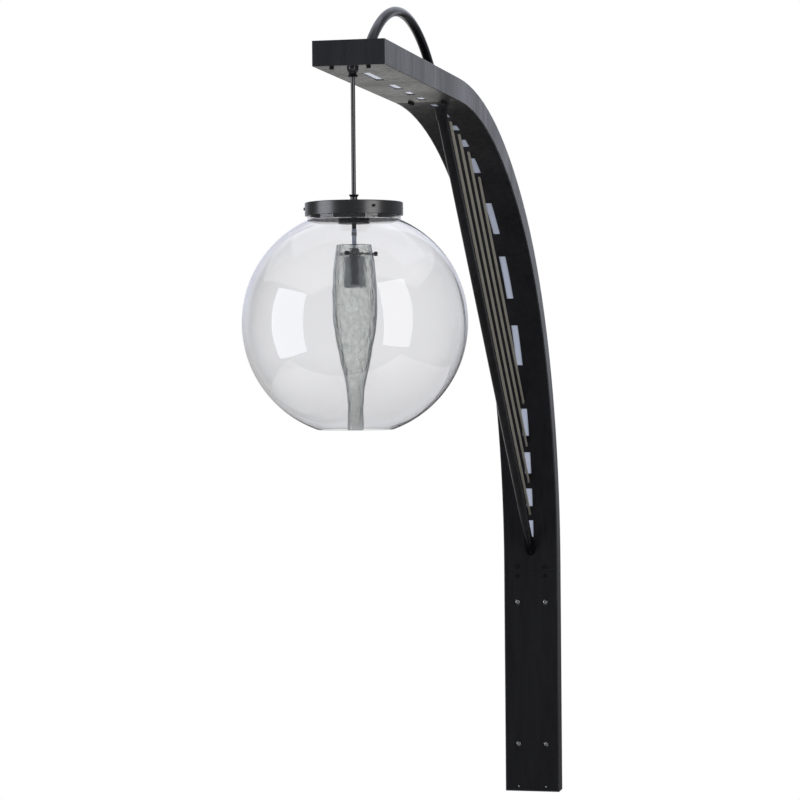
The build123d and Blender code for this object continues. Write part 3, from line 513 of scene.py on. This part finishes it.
def one_lay(foot, way, lay):
    """One lay of a rope: strands that turn once round its core."""
    shape = bmesh.new()
    for number in range(strand_count):
        turn = math.tau * number / strand_count
        middle = (strand_centre * math.cos(turn), strand_centre * math.sin(turn), 0)
        ring = bmesh.ops.create_circle(
            shape, segments=strand_sides, radius=strand_radius, matrix=Matrix.Translation(middle)
        )["verts"]
        edges = list({edge for vert in ring for edge in vert.link_edges})
        bmesh.ops.spin(
            shape,
            geom=ring + edges,
            cent=(0, 0, 0),
            axis=(0, 0, 1),
            angle=math.tau,
            steps=steps_a_lay,
            dvec=(0, 0, lay / steps_a_lay),
        )
    core = bmesh.ops.create_circle(shape, segments=core_sides, radius=core_radius)["verts"]
    edges = list({edge for vert in core for edge in vert.link_edges})
    grown = bmesh.ops.extrude_edge_only(shape, edges=edges)["geom"]
    far_end = [part for part in grown if isinstance(part, bmesh.types.BMVert)]
    bmesh.ops.translate(shape, verts=far_end, vec=(0, 0, lay))
    bmesh.ops.recalc_face_normals(shape, faces=shape.faces)
    turned = way.to_track_quat("Z", "X").to_matrix().to_4x4()
    bmesh.ops.transform(shape, matrix=Matrix.Translation(foot) @ turned, verts=shape.verts)
    return shape


for number in range(1, rope_count + 1):
    node = f"string_{number}"
    foot, way, length = rope_run(node)
    count = round(length / rope_lay)
    lay = length / count
    rope = piece(f"wire_rope_{number}", one_lay(foot, way, lay), finishes["stainless_rope"], "root", node)
    lays = rope.modifiers.new("lays", "ARRAY")
    lays.count = count
    lays.use_relative_offset = False
    lays.use_constant_offset = True
    lays.constant_offset_displace = way * lay
    lays.use_merge_vertices = True
    lays.merge_threshold = lay_join


# Globe, with a thinner wall than the solid's, because the photograph's rim is thin
globe_radius = (globe_high.x - globe_low.x) / 2
globe_wall = 0.001
mouth_radius = 0.068
neck_radius = 0.084
globe_rows = 72
globe_steps = 144
# Where the rows beside a corner lie, as shares of the way between two rows
corner_rows = (0.06, 0.94)


def globe_shell():
    """Outer skin of the ball, from the rim of its mouth to the top of its neck."""
    axis = Vector(((globe_low.x + globe_high.x) / 2, (globe_low.y + globe_high.y) / 2, 0))
    centre = globe_low.z + math.sqrt(globe_radius**2 - mouth_radius**2)
    start = -math.acos(mouth_radius / globe_radius)
    stop = math.acos(neck_radius / globe_radius)
    points = [(mouth_radius, globe_low.z)]
    for number in range(1, globe_rows + 1):
        angle = start + (stop - start) * number / globe_rows
        points.append((globe_radius * math.cos(angle), centre + globe_radius * math.sin(angle)))
    neck_foot = points[-1][1]
    points.append((neck_radius, globe_high.z))
    # Rows close to the rims and to the neck's foot keep those corners crisp
    corners = (globe_low.z, neck_foot, globe_high.z)
    crisp = []
    for (wide, low), (next_wide, high) in zip(points, points[1:]):
        crisp.append((wide, low))
        if low in corners or high in corners:
            for share in corner_rows:
                crisp.append((wide + (next_wide - wide) * share, low + (high - low) * share))
    crisp.append(points[-1])
    return lathe(crisp, axis, globe_steps)


globe = piece("globe_ball", globe_shell(), finishes["clear_acrylic"], "pendant", "globe")
thicken(globe, globe_wall, even=True)


# Shade
shade_wall = 0.004
shade_rows = 6
shade_steps = 96
# Down the shade: share of its length, and its radius as a share of the widest
shade_profile = [
    (0.0, 0.78),
    (0.03, 0.83),
    (0.082, 0.91),
    (0.15, 0.965),
    (0.22, 0.99),
    (0.30, 1.0),
    (0.37, 0.985),
    (0.442, 0.94),
    (0.51, 0.855),
    (0.582, 0.745),
    (0.64, 0.64),
    (0.69, 0.535),
    (0.773, 0.405),
    (0.867, 0.36),
    (0.93, 0.36),
    (1.0, 0.365),
]
# Ripples in a metre, about 14 mm across and 31 mm high, with finer ones on them
ripples_across = 70
ripples_upward = 32
fine_ripple = 0.4
fine_ripple_scale = 2.3
ripple_depth = 0.0016
ripple_limit = 0.0012
ripple_smoothing = 0.3


def shade_shell():
    """Outer skin of the shade, swollen and pinched by its ripples."""
    widest = (shade_high.x - shade_low.x) / 2 - ripple_limit
    length = shade_high.z - shade_low.z
    axis = Vector(((shade_low.x + shade_high.x) / 2, (shade_low.y + shade_high.y) / 2, 0))
    points = []
    for (here, wide), (there, next_wide) in zip(shade_profile, shade_profile[1:]):
        for number in range(shade_rows):
            share = number / shade_rows
            radius = (wide + (next_wide - wide) * share) * widest
            points.append((radius, shade_high.z - (here + (there - here) * share) * length))
    points.append((shade_profile[-1][1] * widest, shade_low.z))
    shape = lathe(points, axis, shade_steps)
    for vert in shape.verts:
        away = vert.co - axis
        spot = Vector((away.x * ripples_across, away.y * ripples_across, away.z * ripples_upward))
        swell = noise.noise(spot) + fine_ripple * noise.noise(spot * fine_ripple_scale)
        level = Vector((away.x, away.y, 0)).normalized()
        vert.co += level * max(-ripple_limit, min(ripple_limit, swell * ripple_depth))
    bmesh.ops.smooth_vert(
        shape, verts=shape.verts, factor=ripple_smoothing, use_axis_x=True, use_axis_y=True
    )
    return shape


shade = piece("rippled_shade", shade_shell(), finishes["rippled_glass"], "pendant", "shade")
thicken(shade, shade_wall)


# Studio
floor_half = 3.4
floor_drop = 0.9
floor_glow = 0.85


def floor_finish():
    """Pale paper sweep: it is white to the eye and keeps the lamp's shadow."""
    material, tree = new_material("pale_paper")
    ray = add(tree, "ShaderNodeLightPath").outputs
    place = add(tree, "ShaderNodeTexCoord").outputs["Object"]
    # Clumps of fibre 25 mm across
    fibre = add(
        tree, "ShaderNodeTexNoise", {"Vector": place, "Scale": cells(25), "Detail": 3.0}
    ).outputs["Fac"]
    tint = add(
        tree,
        "ShaderNodeMix",
        {"Factor": fibre, 6: colour("#DCDCDC"), 7: colour("#E4E4E4")},
        data_type="RGBA",
    ).outputs[2]
    seen = add(
        tree,
        "ShaderNodeMath",
        {0: ray["Is Camera Ray"], 1: ray["Is Transmission Ray"]},
        operation="MAXIMUM",
    ).outputs[0]
    lit = add(tree, "ShaderNodeMath", {0: seen, 1: floor_glow}, operation="MULTIPLY").outputs[0]
    paper = add(tree, "ShaderNodeBsdfDiffuse", {"Color": tint})
    glow = add(tree, "ShaderNodeEmission", {"Color": colour("#FFFFFF"), "Strength": lit})
    both = add(tree, "ShaderNodeAddShader", {0: paper.outputs["BSDF"], 1: glow.outputs["Emission"]})
    add(tree, "ShaderNodeOutputMaterial", {"Surface": both.outputs["Shader"]})
    return material


def make_floor():
    """Wide floor under the lamp, below the foot of its wall."""
    shape = bmesh.new()
    bmesh.ops.create_grid(shape, x_segments=1, y_segments=1, size=floor_half)
    bmesh.ops.translate(shape, verts=shape.verts, vec=(0, 0, cad_bounds[0].z - floor_drop))
    mesh = bpy.data.meshes.new("floor")
    shape.to_mesh(mesh)
    shape.free()
    mesh.materials.append(floor_finish())
    floor = bpy.data.objects.new("floor", mesh)
    bpy.context.scene.collection.objects.link(floor)


def mirrored_studio(tree):
    """What gloss and glass mirror: a bright backdrop behind the lamp, and a dimmer room in front of it."""
    way = add(tree, "ShaderNodeTexCoord").outputs["Generated"]
    parts = add(tree, "ShaderNodeSeparateXYZ", {"Vector": way}).outputs
    # Low down the backdrop is dark, but for the paper sweep on the left
    outward = add(
        tree,
        "ShaderNodeMapRange",
        {"Value": parts["X"], "From Min": -0.28, "From Max": -0.45},
        interpolation_type="SMOOTHSTEP",
    ).outputs["Result"]
    low = add(
        tree,
        "ShaderNodeMix",
        {"Factor": outward, 6: colour("#4C473F"), 7: colour("#C4C2BE")},
        data_type="RGBA",
    ).outputs[2]
    upward = add(
        tree,
        "ShaderNodeMapRange",
        {"Value": parts["Z"], "From Min": -0.14, "From Max": 0.13},
        interpolation_type="SMOOTHSTEP",
    ).outputs["Result"]
    backdrop = add(
        tree, "ShaderNodeMix", {"Factor": upward, 6: low, 7: colour("#EEF1FF")}, data_type="RGBA"
    ).outputs[2]
    # It stands behind the lamp, and fades to a quarter on the right
    back = add(
        tree,
        "ShaderNodeMapRange",
        {"Value": parts["Y"], "From Min": 0.4, "From Max": 0.7},
        interpolation_type="SMOOTHSTEP",
    ).outputs["Result"]
    inward = add(
        tree,
        "ShaderNodeMapRange",
        {"Value": parts["X"], "From Min": 0.235, "From Max": 0.175, "To Min": 0.25, "To Max": 1.06},
        interpolation_type="SMOOTHSTEP",
    ).outputs["Result"]
    behind = add(tree, "ShaderNodeMath", {0: back, 1: inward}, operation="MULTIPLY").outputs[0]
    # The room darkens from the front to the sides
    aside = add(
        tree, "ShaderNodeMapRange", {"Value": parts["Y"], "From Min": -0.6, "From Max": 0.1}
    ).outputs["Result"]
    ahead = add(
        tree,
        "ShaderNodeMix",
        {"Factor": aside, 6: colour("#A0A2A6"), 7: colour("#747678")},
        data_type="RGBA",
    ).outputs[2]
    # A pale reflector far to the right
    rightward = add(
        tree,
        "ShaderNodeMapRange",
        {"Value": parts["X"], "From Min": 0.38, "From Max": 0.5},
        interpolation_type="SMOOTHSTEP",
    ).outputs["Result"]
    card = add(tree, "ShaderNodeMath", {0: rightward, 1: aside}, operation="MULTIPLY").outputs[0]
    room = add(
        tree, "ShaderNodeMix", {"Factor": card, 6: ahead, 7: colour("#9EA0A4")}, data_type="RGBA"
    ).outputs[2]
    return add(tree, "ShaderNodeMix", {"Factor": behind, 6: room, 7: backdrop}, data_type="RGBA").outputs[2]


def make_world():
    """White all round to the eye and through glass, the studio in what mirrors, and grey for soft light."""
    world = bpy.data.worlds.new("studio")
    bpy.context.scene.world = world
    world.use_nodes = True
    tree = world.node_tree
    tree.nodes.clear()
    ray = add(tree, "ShaderNodeLightPath").outputs
    # The eye's own rays, straight or through glass, before any bounce off a surface
    bounces = add(
        tree, "ShaderNodeMath", {0: ray["Glossy Depth"], 1: ray["Diffuse Depth"]}, operation="ADD"
    ).outputs[0]
    first = add(tree, "ShaderNodeMath", {0: bounces, 1: 0.5}, operation="LESS_THAN").outputs[0]
    through = add(
        tree,
        "ShaderNodeMath",
        {0: ray["Is Camera Ray"], 1: ray["Is Transmission Ray"]},
        operation="MAXIMUM",
    ).outputs[0]
    seen = add(tree, "ShaderNodeMath", {0: through, 1: first}, operation="MULTIPLY").outputs[0]
    mirrored = add(
        tree,
        "ShaderNodeMath",
        {0: ray["Is Glossy Ray"], 1: ray["Is Transmission Ray"]},
        operation="MAXIMUM",
    ).outputs[0]
    soft = add(
        tree,
        "ShaderNodeMix",
        {"Factor": mirrored, 6: colour("#8A8A8A"), 7: mirrored_studio(tree)},
        data_type="RGBA",
    ).outputs[2]
    shown = add(
        tree, "ShaderNodeMix", {"Factor": seen, 6: soft, 7: colour("#FFFFFF")}, data_type="RGBA"
    ).outputs[2]
    glow = add(tree, "ShaderNodeBackground", {"Color": shown, "Strength": 1.0})
    add(tree, "ShaderNodeOutputWorld", {"Surface": glow.outputs["Background"]})


def softbox(name, place, target, wide, high, power, tint="#FFFFFF"):
    """Large soft lamp of a power in watts, that the camera and the glass don't see."""
    data = bpy.data.lights.new(name, "AREA")
    data.shape = "RECTANGLE"
    data.size = wide
    data.size_y = high
    data.energy = power
    data.color = colour(tint)[:3]
    lamp = bpy.data.objects.new(name, data)
    lamp.location = place
    lamp.rotation_euler = (Vector(target) - Vector(place)).to_track_quat("-Z", "Y").to_euler()
    lamp.visible_camera = False
    lamp.visible_transmission = False
    bpy.context.scene.collection.objects.link(lamp)


make_floor()
make_world()
globe_middle = (globe_low + globe_high) / 2
softbox(
    "left_softbox",
    place=(-2.53, -3.46, 0.84),
    target=globe_middle,
    wide=2.1,
    high=3.0,
    power=88,
    tint="#F4F6FF",
)
softbox("right_softbox", place=(2.68, -3.58, 1.3), target=globe_middle, wide=1.8, high=3.8, power=84)
softbox(
    "top_panel", place=(0, -0.9, 3.2), target=(0, -0.9, 1.0), wide=4.4, high=2.2, power=22, tint="#F0F2FF"
)
softbox("low_back_panel", place=(-0.9, 2.2, 0.62), target=(0, -1.6, 1.3), wide=1.8, high=0.9, power=2.7)
